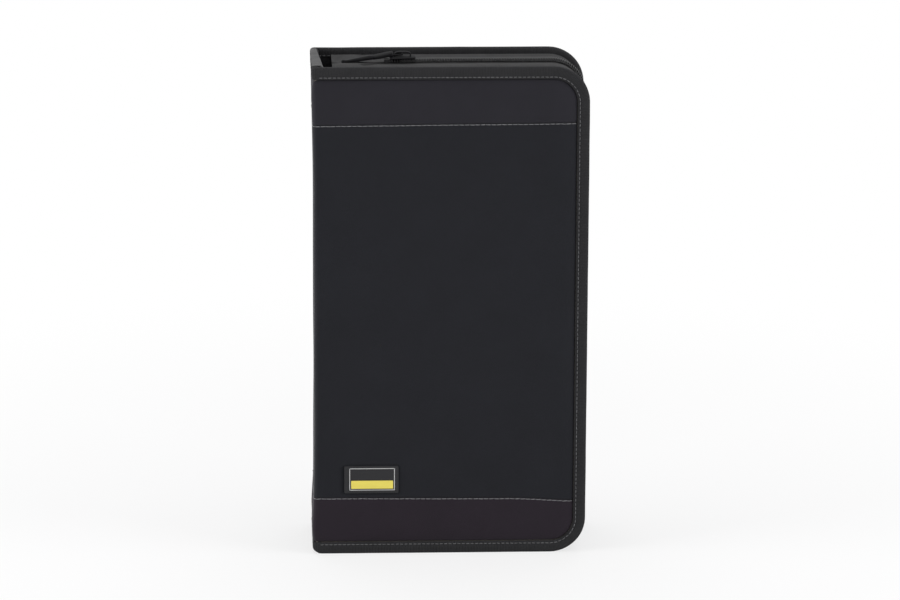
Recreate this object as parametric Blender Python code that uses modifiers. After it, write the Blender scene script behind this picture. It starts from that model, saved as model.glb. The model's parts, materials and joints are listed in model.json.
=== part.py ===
"""A zipped storage case for discs: two padded covers on a spine, bound with ribbed tape.

Metres, +Z up. The case stands on its bottom edges with its spine at -X and its front cover
facing -Y. The origin is at the middle of the footprint. The zip runs from the top of the
spine over the top, down the +X side and back along the bottom.
"""

import math

import bmesh
import bpy
from mathutils import Matrix, Vector

# Overall size of the case
CASE_WIDTH = 0.160
CASE_HEIGHT = 0.292
CASE_DEPTH = 0.060
CORNER_RADIUS = 0.021

# Clearance between pieces that touch
FIT = 0.0003

# Layers of a cover, from the outside in
SKIN_THICKNESS = 0.0018
BOARD_THICKNESS = 0.0014
LINING_THICKNESS = 0.0006

# Layers of the spine, from the outside in
SPINE_SKIN_THICKNESS = 0.0012
SPINE_BOARD_THICKNESS = 0.0012
SPINE_LINING_THICKNESS = 0.0006
SPINE_EDGE_RADIUS = 0.0016
HINGE_GAP = 0.0006

# Padded skin
SKIN_ROUNDING = 0.0012
TOP_SEAM_DROP = 0.035
BOTTOM_SEAM_RISE = 0.0325
SEAM_GAP = 0.0006

# Binding tape
BINDING_WIDTH = 0.0070
BINDING_THICKNESS = 0.0008
BINDING_SET_BACK = 0.0003
BINDING_INNER_WIDTH = 0.0050
BINDING_INNER_THICKNESS = 0.0006
BINDING_ROUNDING = 0.0004
SPINE_BINDING_INSET = 0.0065

# Zip tape and coil
ZIP_INSET = 0.0030
TAPE_THICKNESS = 0.0008
FLANGE_WIDTH = 0.0050
FLANGE_THICKNESS = 0.0006
TAPE_PARTING = 0.0020
TAPE_START = 0.0100
COIL_THICKNESS = 0.0017
COIL_WIDTH = 0.0026
COIL_PITCH = 0.0030
COIL_RIDGE = 0.0005
STOP_LENGTH = 0.0030
STOP_PROUD = 0.0002

# Zip slider and its pull
POST_THICKNESS = 0.0009
POST_LENGTH = 0.0050
POST_PLAY = 0.00025
SLIDER_X = -0.0270
SLIDER_LENGTH = 0.0150
SLIDER_WIDTH = 0.0110
SLIDER_TAIL_WIDTH = 0.0082
SLIDER_PLATE = 0.0010
SLIDER_CORNER = 0.0022
BRIDGE_LENGTH = 0.0100
BRIDGE_WIDTH = 0.0030
BRIDGE_BAR = 0.0009
BRIDGE_WINDOW = 0.0029
PULL_AXIS_RISE = 0.0016
PULL_BAR = 0.0014
PULL_WIDTH = 0.0070
PULL_EYE_WIDTH = 0.0040
PULL_EYE_LENGTH = 0.0060
PULL_TAB_LENGTH = 0.0175
PULL_PLATE = 0.0012
PULL_TAIL_BAR = 0.0016
PULL_SLOT = 0.0020
STRAP_WIDTH = 0.0038
STRAP_PLY = 0.0008
STRAP_REACH = 0.0365
STRAP_END_RADIUS = 0.0012

# Patch on the front panel
PATCH_WIDTH = 0.0325
PATCH_HEIGHT = 0.0175
PATCH_THICKNESS = 0.0010
PATCH_FROM_SPINE = 0.0175
PATCH_ABOVE_SEAM = 0.0040
PATCH_CORNER = 0.0008

# Pages and their binder
PAGE_COUNT = 22
PAGE_NICK = 0.0008
PAGE_SWELL_ROOM = 0.0067
PAGE_END_ROOM = 0.0029
FORE_EDGE_ROOM = 0.0136
BINDER_THICKNESS = 0.0024
BINDER_WIDTH = 0.0260

# Resolution of round corners
CORNER_STEPS = 8
SMALL_CORNER_STEPS = 4
PAD_STEPS = 3
EDGE_STEPS = 2
OVERCUT = 0.0040

# Outlines are drawn in millimetres and shrunk, because a curve's fill skips tiny details
DRAWING_SCALE = 1000.0

# Places worked out from the sizes above
SPINE_X = -CASE_WIDTH / 2
SPINE_THICKNESS = (SPINE_SKIN_THICKNESS + SPINE_BOARD_THICKNESS + SPINE_LINING_THICKNESS
                   + 2 * FIT)
COVER_X = SPINE_X + SPINE_THICKNESS + HINGE_GAP
EDGE_X = CASE_WIDTH / 2
FACE_Y = CASE_DEPTH / 2
BOARD_OUT = FACE_Y - SKIN_THICKNESS - FIT
BOARD_IN = BOARD_OUT - BOARD_THICKNESS
LINING_OUT = BOARD_IN - FIT
LINING_IN = LINING_OUT - LINING_THICKNESS
BINDING_OUT = FACE_Y - BINDING_SET_BACK
BINDING_IN = LINING_IN - FIT - BINDING_INNER_THICKNESS
FLANGE_OUT = BINDING_IN - FIT
COIL_PARTING = POST_THICKNESS / 2 + POST_PLAY
COIL_OUT = COIL_PARTING + COIL_WIDTH
TAPE_TOP = CASE_HEIGHT - ZIP_INSET
COIL_TOP = TAPE_TOP + FIT + COIL_THICKNESS
SLIDER_TOP = COIL_TOP + FIT + SLIDER_PLATE
SLIDER_BOTTOM = TAPE_TOP - TAPE_THICKNESS - FIT - SLIDER_PLATE
COIL_START = SLIDER_X - SLIDER_LENGTH / 2
PULL_AXIS_Z = SLIDER_TOP + PULL_AXIS_RISE
PULL_TILT = math.asin((PULL_AXIS_Z - COIL_TOP - FIT - STRAP_END_RADIUS) / STRAP_REACH)
PAGE_BLOCK = 2 * (LINING_IN - PAGE_SWELL_ROOM)


def clear_scene():
    """Start from an empty file."""
    for item in list(bpy.data.objects):
        bpy.data.objects.remove(item, do_unlink=True)


def make_collection(name):
    """A collection linked to the scene."""
    made = bpy.data.collections.new(name)
    bpy.context.scene.collection.children.link(made)
    return made


def make_material(name, colour, roughness, metallic=0.0):
    """A plain Principled material."""
    material = bpy.data.materials.new(name)
    material.use_nodes = True
    shader = material.node_tree.nodes["Principled BSDF"]
    shader.inputs["Base Color"].default_value = (*colour, 1.0)
    shader.inputs["Roughness"].default_value = roughness
    shader.inputs["Metallic"].default_value = metallic
    return material


# Axes of a flat plate: its outline's two directions and the direction of its thickness
LAYS = {
    "front": Matrix(((1, 0, 0, 0), (0, 0, -1, 0), (0, 1, 0, 0), (0, 0, 0, 1))),
    "side": Matrix(((0, 0, 1, 0), (1, 0, 0, 0), (0, 1, 0, 0), (0, 0, 0, 1))),
    "flat": Matrix.Identity(4),
}


def plate(name, outline, low, high, lay, material, rounding=0.0, home=None):
    """A flat outline made solid between two levels.

    lay "front" takes X and Z and is thick along Y, "side" takes Y and Z and is thick
    along X, and "flat" takes X and Y and is thick along Z.
    """
    curve = bpy.data.curves.new(name, "CURVE")
    curve.dimensions = "2D"
    curve.fill_mode = "BOTH"
    curve.extrude = (high - low) / 2 * DRAWING_SCALE
    spline = curve.splines.new("POLY")
    spline.points.add(len(outline) - 1)
    for point, (across, along) in zip(spline.points, outline):
        point.co = (across * DRAWING_SCALE, along * DRAWING_SCALE, 0.0, 1.0)
    spline.use_cyclic_u = True
    drawn = bpy.data.objects.new(name + "_outline", curve)
    bpy.context.scene.collection.objects.link(drawn)
    turn = LAYS[lay]
    thick = turn.to_3x3() @ Vector((0, 0, 1))
    middle = (low + high) / 2
    offset = Vector((abs(thick.x), abs(thick.y), abs(thick.z))) * middle
    shrink = Matrix.Scale(1 / DRAWING_SCALE, 4)
    drawn.matrix_world = Matrix.Translation(offset) @ turn @ shrink
    bpy.context.view_layer.update()
    graph = bpy.context.evaluated_depsgraph_get()
    mesh = bpy.data.meshes.new_from_object(drawn.evaluated_get(graph))
    mesh.transform(drawn.matrix_world)
    mesh.name = name
    bpy.data.objects.remove(drawn, do_unlink=True)
    tidy = bmesh.new()
    tidy.from_mesh(mesh)
    bmesh.ops.remove_doubles(tidy, verts=tidy.verts, dist=0.000001)
    bmesh.ops.dissolve_limit(tidy, angle_limit=0.001, verts=tidy.verts, edges=tidy.edges)
    bmesh.ops.recalc_face_normals(tidy, faces=tidy.faces)
    tidy.to_mesh(mesh)
    tidy.free()
    made = bpy.data.objects.new(name, mesh)
    (home or PARTS).objects.link(made)
    mesh.materials.append(material)
    if rounding:
        bevel = made.modifiers.new("rounded edges", "BEVEL")
        bevel.width = rounding
        bevel.segments = EDGE_STEPS
        bevel.limit_method = "ANGLE"
        bevel.angle_limit = math.radians(40)
    return made


def padded_plate(name, outline, face_y, under_y):
    """A cover's padded skin: a plate whose outer face rolls off at its edges."""
    made = plate(name, outline, min(face_y, under_y), max(face_y, under_y), "front",
                 MATERIALS["fabric"])
    mesh = made.data
    weights = mesh.attributes.new("bevel_weight_edge", "FLOAT", "EDGE")
    for edge in mesh.edges:
        ends = [mesh.vertices[index].co.y for index in edge.vertices]
        if all(abs(end - face_y) < FIT / 10 for end in ends):
            weights.data[edge.index].value = 1.0
    bevel = made.modifiers.new("rolled edges", "BEVEL")
    bevel.width = SKIN_ROUNDING
    bevel.segments = PAD_STEPS
    bevel.limit_method = "WEIGHT"
    return made


def cut(target, *cutters):
    """Take each cutter away from the target."""
    for cutter in cutters:
        hole = target.modifiers.new(cutter.name, "BOOLEAN")
        hole.operation = "DIFFERENCE"
        hole.solver = "EXACT"
        hole.object = cutter


def join(target, *added):
    """Grow the target by each added shape."""
    for piece in added:
        union = target.modifiers.new(piece.name, "BOOLEAN")
        union.operation = "UNION"
        union.solver = "EXACT"
        union.object = piece


def cutter_plate(name, outline, low, high, lay):
    """A plate that only cuts or joins, kept out of the model."""
    made = plate(name, outline, low, high, lay, MATERIALS["board"], home=CUTTERS)
    made.hide_render = True
    made.display_type = "WIRE"
    return made


def arc(centre_x, centre_y, radius, start, end, steps):
    """Points along an arc, angles in degrees."""
    turns = [math.radians(start + (end - start) * step / steps) for step in range(steps + 1)]
    return [(centre_x + radius * math.cos(turn), centre_y + radius * math.sin(turn))
            for turn in turns]


def rectangle(low_x, high_x, low_y, high_y):
    """A plain rectangle."""
    return [(low_x, low_y), (high_x, low_y), (high_x, high_y), (low_x, high_y)]


def rounded_rectangle(low_x, high_x, low_y, high_y, radius):
    """A rectangle with four round corners."""
    steps = SMALL_CORNER_STEPS
    return (arc(high_x - radius, low_y + radius, radius, -90, 0, steps)
            + arc(high_x - radius, high_y - radius, radius, 0, 90, steps)
            + arc(low_x + radius, high_y - radius, radius, 90, 180, steps)
            + arc(low_x + radius, low_y + radius, radius, 180, 270, steps))


def edge_path(inset, start_x):
    """The cover's outline at an inset, from the bottom by the spine round to the top."""
    radius = CORNER_RADIUS - inset
    right = EDGE_X - inset
    top = CASE_HEIGHT - inset
    return ([(start_x, inset)]
            + arc(right - radius, inset + radius, radius, -90, 0, CORNER_STEPS)
            + arc(right - radius, top - radius, radius, 0, 90, CORNER_STEPS)
            + [(start_x, top)])


def edge_strip(outer_inset, inner_inset, start_x):
    """A strip along three sides of the cover, between two insets."""
    return edge_path(outer_inset, start_x) + edge_path(inner_inset, start_x)[::-1]


def band_outline(inset, start_x, seam_z, at_top):
    """The skin beyond a cross seam, with the far corner rounded."""
    radius = CORNER_RADIUS - inset
    right = EDGE_X - inset
    if at_top:
        top = CASE_HEIGHT - inset
        return ([(start_x, seam_z), (right, seam_z)]
                + arc(right - radius, top - radius, radius, 0, 90, CORNER_STEPS)
                + [(start_x, top)])
    return ([(start_x, inset)]
            + arc(right - radius, inset + radius, radius, -90, 0, CORNER_STEPS)
            + [(right, seam_z), (start_x, seam_z)])


def ridged_coil(name, low_y, high_y, start_x):
    """Half of the coil: a loft along three sides of the cover between low and high sections."""
    inset = CASE_HEIGHT - COIL_TOP
    radius = CORNER_RADIUS - inset
    run = EDGE_X - inset - radius - start_x
    rise = COIL_TOP - inset - 2 * radius
    turn = radius * math.pi / 2
    total = 2 * run + 2 * turn + rise
    count = 2 * round(total / COIL_PITCH)
    loft = bmesh.new()
    rings = []
    for step in range(count + 1):
        place, out = along_edge(total * step / count, run, turn, rise, radius, start_x, inset)
        ring = []
        for depth, level in ((COIL_RIDGE * (step % 2), low_y), (COIL_RIDGE * (step % 2), high_y),
                             (COIL_THICKNESS, high_y), (COIL_THICKNESS, low_y)):
            ring.append(loft.verts.new((place[0] - out[0] * depth, level,
                                        place[1] - out[1] * depth)))
        rings.append(ring)
    for near, far in zip(rings, rings[1:]):
        for corner in range(4):
            after = (corner + 1) % 4
            loft.faces.new((near[corner], near[after], far[after], far[corner]))
    loft.faces.new(rings[0])
    loft.faces.new(rings[-1])
    bmesh.ops.recalc_face_normals(loft, faces=loft.faces)
    mesh = bpy.data.meshes.new(name)
    loft.to_mesh(mesh)
    loft.free()
    mesh.materials.append(MATERIALS["coil"])
    PARTS.objects.link(bpy.data.objects.new(name, mesh))


def along_edge(distance, run, turn, rise, radius, start_x, inset):
    """The point and outward direction at a distance along three sides of the cover."""
    right = EDGE_X - inset
    low = inset + radius
    high = CASE_HEIGHT - inset - radius
    if distance <= run:
        return (start_x + distance, inset), (0.0, -1.0)
    distance -= run
    if distance <= turn:
        angle = distance / radius - math.pi / 2
        out = (math.cos(angle), math.sin(angle))
        return (right - radius + radius * out[0], low + radius * out[1]), out
    distance -= turn
    if distance <= rise:
        return (right, low + distance), (1.0, 0.0)
    distance -= rise
    if distance <= turn:
        angle = distance / radius
        out = (math.cos(angle), math.sin(angle))
        return (right - radius + radius * out[0], high + radius * out[1]), out
    distance -= turn
    return (right - radius - distance, CASE_HEIGHT - inset), (0.0, 1.0)


def levels(side, outer, inner):
    """Low and high Y of a layer: side is -1 for the front cover and 1 for the back one."""
    return (min(side * outer, side * inner), max(side * outer, side * inner))


def make_cover(label, side):
    """One padded cover with its binding and its half of the zip."""
    window = BINDING_WIDTH + FIT
    top_seam = CASE_HEIGHT - TOP_SEAM_DROP
    skin_y = (side * FACE_Y, side * (FACE_Y - SKIN_THICKNESS))
    centre = padded_plate(label + "_centre_panel",
                          rectangle(COVER_X, EDGE_X - window,
                                    BOTTOM_SEAM_RISE + SEAM_GAP / 2, top_seam - SEAM_GAP / 2),
                          *skin_y)
    padded_plate(label + "_top_band",
                 band_outline(window, COVER_X, top_seam + SEAM_GAP / 2, True), *skin_y)
    padded_plate(label + "_bottom_band",
                 band_outline(window, COVER_X, BOTTOM_SEAM_RISE - SEAM_GAP / 2, False), *skin_y)

    core = edge_path(BINDING_THICKNESS + FIT, COVER_X)
    plate(label + "_board", core, *levels(side, BOARD_OUT, BOARD_IN), "front",
          MATERIALS["board"])
    plate(label + "_lining", core, *levels(side, LINING_OUT, LINING_IN), "front",
          MATERIALS["lining"])

    binding = plate(label + "_binding", edge_strip(0.0, BINDING_WIDTH, COVER_X),
                    *levels(side, BINDING_OUT, BINDING_IN), "front", MATERIALS["binding"],
                    BINDING_ROUNDING)
    past = COVER_X - OVERCUT
    slot = cutter_plate(label + "_binding_slot",
                        edge_strip(BINDING_THICKNESS, BINDING_WIDTH + OVERCUT, past),
                        *levels(side, BOARD_OUT + FIT, LINING_IN - FIT), "front")
    trim = cutter_plate(label + "_binding_trim",
                        edge_strip(BINDING_INNER_WIDTH, BINDING_WIDTH + OVERCUT, past),
                        *levels(side, LINING_IN - FIT / 2, BINDING_IN - OVERCUT), "front")
    cut(binding, slot, trim)

    start = SPINE_X + TAPE_START
    tape = plate(label + "_zip_tape", edge_strip(ZIP_INSET, ZIP_INSET + FLANGE_WIDTH, start),
                 *levels(side, FLANGE_OUT, TAPE_PARTING / 2), "front", MATERIALS["tape"])
    hollow = cutter_plate(label + "_zip_tape_hollow",
                          edge_strip(ZIP_INSET + TAPE_THICKNESS,
                                     ZIP_INSET + FLANGE_WIDTH + OVERCUT, start - OVERCUT),
                          *levels(side, FLANGE_OUT - FLANGE_THICKNESS, -OVERCUT), "front")
    cut(tape, hollow)

    coil_y = levels(side, COIL_OUT, COIL_PARTING)
    ridged_coil(label + "_zip_coil", *coil_y, COIL_START)
    stop_low = COIL_TOP - COIL_THICKNESS
    stop_x = COIL_START - FIT
    for place, low, high in (("top", stop_low, COIL_TOP + STOP_PROUD),
                             ("bottom", CASE_HEIGHT - COIL_TOP - STOP_PROUD,
                              CASE_HEIGHT - stop_low)):
        plate(label + "_" + place + "_stop", rectangle(stop_x - STOP_LENGTH, stop_x, low, high),
              *coil_y, "front", MATERIALS["coil"], STOP_PROUD)
    return centre


def make_patch(panel):
    """The patch set into the front panel, low by the spine."""
    low_x = SPINE_X + PATCH_FROM_SPINE
    low_z = BOTTOM_SEAM_RISE + PATCH_ABOVE_SEAM
    outline = rounded_rectangle(low_x, low_x + PATCH_WIDTH, low_z, low_z + PATCH_HEIGHT,
                                PATCH_CORNER)
    plate("label_patch", outline, -FACE_Y, -FACE_Y + PATCH_THICKNESS, "front",
          MATERIALS["patch"])
    around = rounded_rectangle(low_x - FIT, low_x + PATCH_WIDTH + FIT, low_z - FIT,
                               low_z + PATCH_HEIGHT + FIT, PATCH_CORNER + FIT)
    cut(panel, cutter_plate("patch_recess", around, -FACE_Y - OVERCUT,
                            -FACE_Y + PATCH_THICKNESS + FIT, "front"))


def spine_skin_outline():
    """The spine's skin seen from above: a shallow channel folded round both long edges."""
    radius = SPINE_EDGE_RADIUS
    inner_x = SPINE_X + SPINE_SKIN_THICKNESS
    lip_x = SPINE_X + SPINE_THICKNESS
    lip_y = FACE_Y - SPINE_SKIN_THICKNESS
    steps = SMALL_CORNER_STEPS
    return (arc(SPINE_X + radius, FACE_Y - radius, radius, 90, 180, steps)
            + arc(SPINE_X + radius, -FACE_Y + radius, radius, 180, 270, steps)
            + [(lip_x, -FACE_Y), (lip_x, -lip_y), (inner_x, -lip_y), (inner_x, lip_y),
               (lip_x, lip_y), (lip_x, FACE_Y)])


def make_spine():
    """The flat spine: skin in three pieces, board, lining and two bound ends."""
    window = BINDING_WIDTH + FIT
    top_seam = CASE_HEIGHT - TOP_SEAM_DROP
    fabric = MATERIALS["fabric"]
    for name, low, high in (
            ("spine_centre_panel", BOTTOM_SEAM_RISE + SEAM_GAP / 2, top_seam - SEAM_GAP / 2),
            ("spine_top_band", top_seam + SEAM_GAP / 2, CASE_HEIGHT - window),
            ("spine_bottom_band", window, BOTTOM_SEAM_RISE - SEAM_GAP / 2)):
        plate(name, spine_skin_outline(), low, high, "flat", fabric)
    edge = BINDING_THICKNESS + FIT
    half = FACE_Y - SPINE_SKIN_THICKNESS - FIT
    core = rectangle(-half, half, edge, CASE_HEIGHT - edge)
    board_x = SPINE_X + SPINE_SKIN_THICKNESS + FIT
    plate("spine_board", core, board_x, board_x + SPINE_BOARD_THICKNESS, "side",
          MATERIALS["board"])
    lining_x = board_x + SPINE_BOARD_THICKNESS + FIT
    inner_x = lining_x + SPINE_LINING_THICKNESS
    plate("spine_lining", core, lining_x, inner_x, "side", MATERIALS["lining"])

    leg_x = inner_x + FIT + BINDING_INNER_THICKNESS
    outer_x = SPINE_X + BINDING_SET_BACK / 2
    for name, low, high in (
            ("spine_top_binding", CASE_HEIGHT - BINDING_WIDTH, CASE_HEIGHT),
            ("spine_bottom_binding", 0.0, BINDING_WIDTH)):
        at_top = high == CASE_HEIGHT
        wrap = plate(name, rectangle(outer_x, leg_x, low, high), -FACE_Y, FACE_Y, "front",
                     MATERIALS["binding"], BINDING_ROUNDING)
        slot_z = ((low - OVERCUT, high - BINDING_THICKNESS) if at_top
                  else (low + BINDING_THICKNESS, high + OVERCUT))
        slot = cutter_plate(name + "_slot", rectangle(board_x - FIT, inner_x + FIT, *slot_z),
                            -FACE_Y - OVERCUT, FACE_Y + OVERCUT, "front")
        cut(wrap, slot)
        for side in (-1, 1):
            notch = cutter_plate(name + "_notch_" + ("front" if side < 0 else "back"),
                                 rectangle(inner_x + FIT / 2, leg_x + OVERCUT,
                                           low - OVERCUT, high + OVERCUT),
                                 *levels(side, FACE_Y - SPINE_BINDING_INSET, FACE_Y + OVERCUT),
                                 "front")
            cut(wrap, notch)
    return inner_x


def make_pages(inner_x):
    """The binder strip on the spine and the stack of sleeves sewn to it."""
    binder_x = inner_x + FIT
    clear = BINDING_WIDTH + FIT
    plate("page_binder", rectangle(-BINDER_WIDTH / 2, BINDER_WIDTH / 2, clear,
                                   CASE_HEIGHT - clear),
          binder_x, binder_x + BINDER_THICKNESS, "side", MATERIALS["lining"])
    low_x = binder_x + BINDER_THICKNESS + FIT
    high_x = EDGE_X - ZIP_INSET - TAPE_THICKNESS - FORE_EDGE_ROOM
    high_z = SLIDER_BOTTOM - PAGE_END_ROOM
    pitch = PAGE_BLOCK / PAGE_COUNT
    outline = [(low_x, -PAGE_BLOCK / 2)]
    for page in range(PAGE_COUNT):
        near = -PAGE_BLOCK / 2 + page * pitch
        outline.append((high_x - PAGE_NICK, near))
        outline.append((high_x, near + pitch / 2))
    outline += [(high_x - PAGE_NICK, PAGE_BLOCK / 2), (low_x, PAGE_BLOCK / 2)]
    plate("sleeve_pages", outline, CASE_HEIGHT - high_z, high_z, "flat", MATERIALS["sleeve"])


def slider_outline():
    """The slider seen from outside: wide where the two halves part, narrow at its tail."""
    half = SLIDER_LENGTH / 2
    head = SLIDER_WIDTH / 2
    tail = SLIDER_TAIL_WIDTH / 2
    bend = SLIDER_CORNER
    steps = SMALL_CORNER_STEPS
    return (arc(SLIDER_X + half - bend, tail - bend, bend, 0, 90, steps)
            + arc(SLIDER_X - half + bend, head - bend, bend, 90, 180, steps)
            + arc(SLIDER_X - half + bend, -head + bend, bend, 180, 270, steps)
            + arc(SLIDER_X + half - bend, -tail + bend, bend, 270, 360, steps))


def make_slider():
    """The slider: two plates on a post that runs between the coil halves, and a bridge."""
    metal = MATERIALS["metal"]
    outline = slider_outline()
    body = plate("slider_body", outline, SLIDER_TOP - SLIDER_PLATE, SLIDER_TOP, "flat", metal)
    lower = cutter_plate("slider_lower_plate", outline, SLIDER_BOTTOM,
                         SLIDER_BOTTOM + SLIDER_PLATE, "flat")
    head_x = SLIDER_X - SLIDER_LENGTH / 2 + SLIDER_CORNER / 2
    sunk = SLIDER_PLATE / 2
    post = cutter_plate("slider_post",
                        rectangle(head_x, head_x + POST_LENGTH, SLIDER_BOTTOM + sunk,
                                  SLIDER_TOP - sunk),
                        -POST_THICKNESS / 2, POST_THICKNESS / 2, "front")
    near = SLIDER_X - BRIDGE_LENGTH / 2
    far = SLIDER_X + BRIDGE_LENGTH / 2
    top = SLIDER_TOP + BRIDGE_WINDOW
    bend = BRIDGE_WINDOW / 2
    steps = SMALL_CORNER_STEPS
    arch = ([(far, SLIDER_TOP - sunk)]
            + arc(far - bend - BRIDGE_BAR, top - bend, bend + BRIDGE_BAR, 0, 90, steps)
            + arc(near + bend + BRIDGE_BAR, top - bend, bend + BRIDGE_BAR, 90, 180, steps)
            + [(near, SLIDER_TOP - sunk), (near + BRIDGE_BAR, SLIDER_TOP - sunk)]
            + arc(near + bend + BRIDGE_BAR, top - bend, bend, 180, 90, steps)
            + arc(far - bend - BRIDGE_BAR, top - bend, bend, 90, 0, steps)
            + [(far - BRIDGE_BAR, SLIDER_TOP - sunk)])
    bridge = cutter_plate("slider_bridge", arch, -BRIDGE_WIDTH / 2, BRIDGE_WIDTH / 2, "front")
    join(body, post, lower, bridge)


def strap_outline():
    """The strap seen from the side: a loop round the link's tail bar, then two plies."""
    centre = -PULL_TAB_LENGTH + PULL_TAIL_BAR / 2
    reach = PULL_TAIL_BAR / 2 + FIT + STRAP_PLY
    height = PULL_PLATE / 2 + FIT + STRAP_PLY
    neck = centre - reach - height
    steps = SMALL_CORNER_STEPS
    return (arc(centre + reach - height / 2, height / 2, height / 2, 0, 90, steps)
            + [(centre - reach + STRAP_PLY, height), (neck, STRAP_PLY)]
            + arc(-STRAP_REACH, 0.0, STRAP_END_RADIUS, 45, 315, 2 * steps)
            + [(neck, -STRAP_PLY), (centre - reach + STRAP_PLY, -height)]
            + arc(centre + reach - height / 2, -height / 2, height / 2, -90, 0, steps))


def make_pull():
    """The link on the slider's bridge and its strap, tilted to rest on the coil."""
    half = PULL_WIDTH / 2
    bar = PULL_BAR / 2
    eye = PULL_EYE_WIDTH / 2
    tail = -PULL_TAB_LENGTH
    slot_end = tail + PULL_TAIL_BAR
    slot_half = STRAP_WIDTH / 2 + FIT
    tab = plate("pull_tab", rounded_rectangle(tail, bar, -half, half, bar),
                -PULL_PLATE / 2, PULL_PLATE / 2, "flat", MATERIALS["metal"])
    eye_hole = cutter_plate("pull_eye", rectangle(-PULL_EYE_LENGTH, -bar, -eye, eye),
                            -OVERCUT, OVERCUT, "flat")
    slot = cutter_plate("pull_slot", rectangle(slot_end, slot_end + PULL_SLOT,
                                               -slot_half, slot_half),
                        -OVERCUT, OVERCUT, "flat")
    cut(tab, eye_hole, slot)
    strap = plate("pull_strap", strap_outline(), -STRAP_WIDTH / 2, STRAP_WIDTH / 2, "front",
                  MATERIALS["strap"])
    clear = PULL_PLATE / 2 + FIT
    bar_hole = cutter_plate("strap_loop", rectangle(tail - FIT, slot_end + FIT, -clear, clear),
                            -OVERCUT, OVERCUT, "front")
    cut(strap, bar_hole)
    pivot = bpy.data.objects.new("pull_pivot", None)
    PARTS.objects.link(pivot)
    pivot.location = (SLIDER_X, 0.0, PULL_AXIS_Z)
    pivot.rotation_euler = (0.0, -PULL_TILT, 0.0)
    for piece in (tab, eye_hole, slot, strap, bar_hole):
        piece.parent = pivot


clear_scene()
PARTS = make_collection("disc storage case")
CUTTERS = make_collection("cutters")
MATERIALS = {
    "fabric": make_material("cover fabric", (0.024, 0.023, 0.028), 0.75),
    "binding": make_material("binding tape", (0.028, 0.028, 0.030), 0.80),
    "tape": make_material("zip tape", (0.060, 0.060, 0.062), 0.80),
    "coil": make_material("nylon coil", (0.090, 0.090, 0.092), 0.45),
    "board": make_material("stiffener board", (0.10, 0.09, 0.08), 0.85),
    "lining": make_material("lining", (0.020, 0.020, 0.022), 0.85),
    "sleeve": make_material("disc sleeves", (0.045, 0.045, 0.048), 0.60),
    "metal": make_material("black painted metal", (0.010, 0.010, 0.011), 0.40, 0.3),
    "strap": make_material("woven strap", (0.010, 0.010, 0.011), 0.75),
    "patch": make_material("moulded patch", (0.012, 0.012, 0.013), 0.50),
}
FRONT_PANEL = make_cover("front", -1)
make_cover("back", 1)
make_patch(FRONT_PANEL)
SPINE_INNER_X = make_spine()
make_pages(SPINE_INNER_X)
make_slider()
make_pull()
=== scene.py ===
"""Looks of a zipped disc case: woven covers, ribbed binding, nylon zip, slider and sleeves."""

import json
import math

import bmesh
import bpy
import numpy as np
from mathutils import Matrix, Vector, noise


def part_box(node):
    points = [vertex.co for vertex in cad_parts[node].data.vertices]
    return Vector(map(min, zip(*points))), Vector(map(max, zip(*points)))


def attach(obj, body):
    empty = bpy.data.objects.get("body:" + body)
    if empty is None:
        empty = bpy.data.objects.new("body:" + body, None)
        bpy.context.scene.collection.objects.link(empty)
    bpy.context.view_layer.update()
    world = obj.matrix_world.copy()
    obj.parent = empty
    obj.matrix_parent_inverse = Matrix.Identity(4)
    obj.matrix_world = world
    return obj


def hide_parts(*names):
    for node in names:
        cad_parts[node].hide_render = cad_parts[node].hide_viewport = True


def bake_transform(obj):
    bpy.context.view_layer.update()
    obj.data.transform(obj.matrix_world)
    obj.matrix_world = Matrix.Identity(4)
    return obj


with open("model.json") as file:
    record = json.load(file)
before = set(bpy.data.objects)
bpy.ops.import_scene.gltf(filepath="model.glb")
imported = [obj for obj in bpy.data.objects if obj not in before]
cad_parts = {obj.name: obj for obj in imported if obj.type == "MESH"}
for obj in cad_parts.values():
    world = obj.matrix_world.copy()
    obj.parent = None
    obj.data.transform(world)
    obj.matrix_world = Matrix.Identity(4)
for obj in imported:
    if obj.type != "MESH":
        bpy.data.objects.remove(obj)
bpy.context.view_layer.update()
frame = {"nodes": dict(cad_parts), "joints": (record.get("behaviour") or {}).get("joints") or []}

MM = 0.001
SIDES = {"front": -1, "back": 1}

# Places read from the frame
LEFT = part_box("spine_centre_panel")[0].x
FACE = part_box("spine_centre_panel")[1].y
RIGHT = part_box("front_binding")[1].x
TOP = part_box("front_binding")[1].z
SEAM_HIGH = (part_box("front_centre_panel")[1].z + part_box("front_top_band")[0].z) / 2
SEAM_LOW = (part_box("front_centre_panel")[0].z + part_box("front_bottom_band")[1].z) / 2
SKIN_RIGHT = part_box("front_top_band")[1].x
SKIN_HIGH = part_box("front_top_band")[1].z
SKIN_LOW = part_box("front_bottom_band")[0].z
SKIN_UNDER = -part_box("front_top_band")[1].y
SPINE_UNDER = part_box("spine_board")[0].x
LINING_IN = -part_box("front_lining")[1].y
SPINE_LINING_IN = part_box("spine_lining")[1].x
COIL_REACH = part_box("back_zip_coil")[1].y
COIL_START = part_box("back_zip_coil")[0].x
COIL_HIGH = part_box("back_zip_coil")[1].z
SLIDER_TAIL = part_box("slider_body")[1].x
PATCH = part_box("label_patch")

# The cloth over the boards, the fold round the spine's long edges and the hinge in it
CORNER = 21 * MM
SKIN_RADIUS = CORNER - (RIGHT - SKIN_RIGHT)
FOLD = 2.6 * MM
FOLD_TURN = FOLD * math.pi / 2
LAP = 3.4 * MM
HINGE_INNER = (-75.2 * MM, 24.8 * MM)
SPINE_HALF = FACE - FOLD - LAP
PARTS = {"top_band": 26, "centre_panel": 96, "bottom_band": 26}

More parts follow.
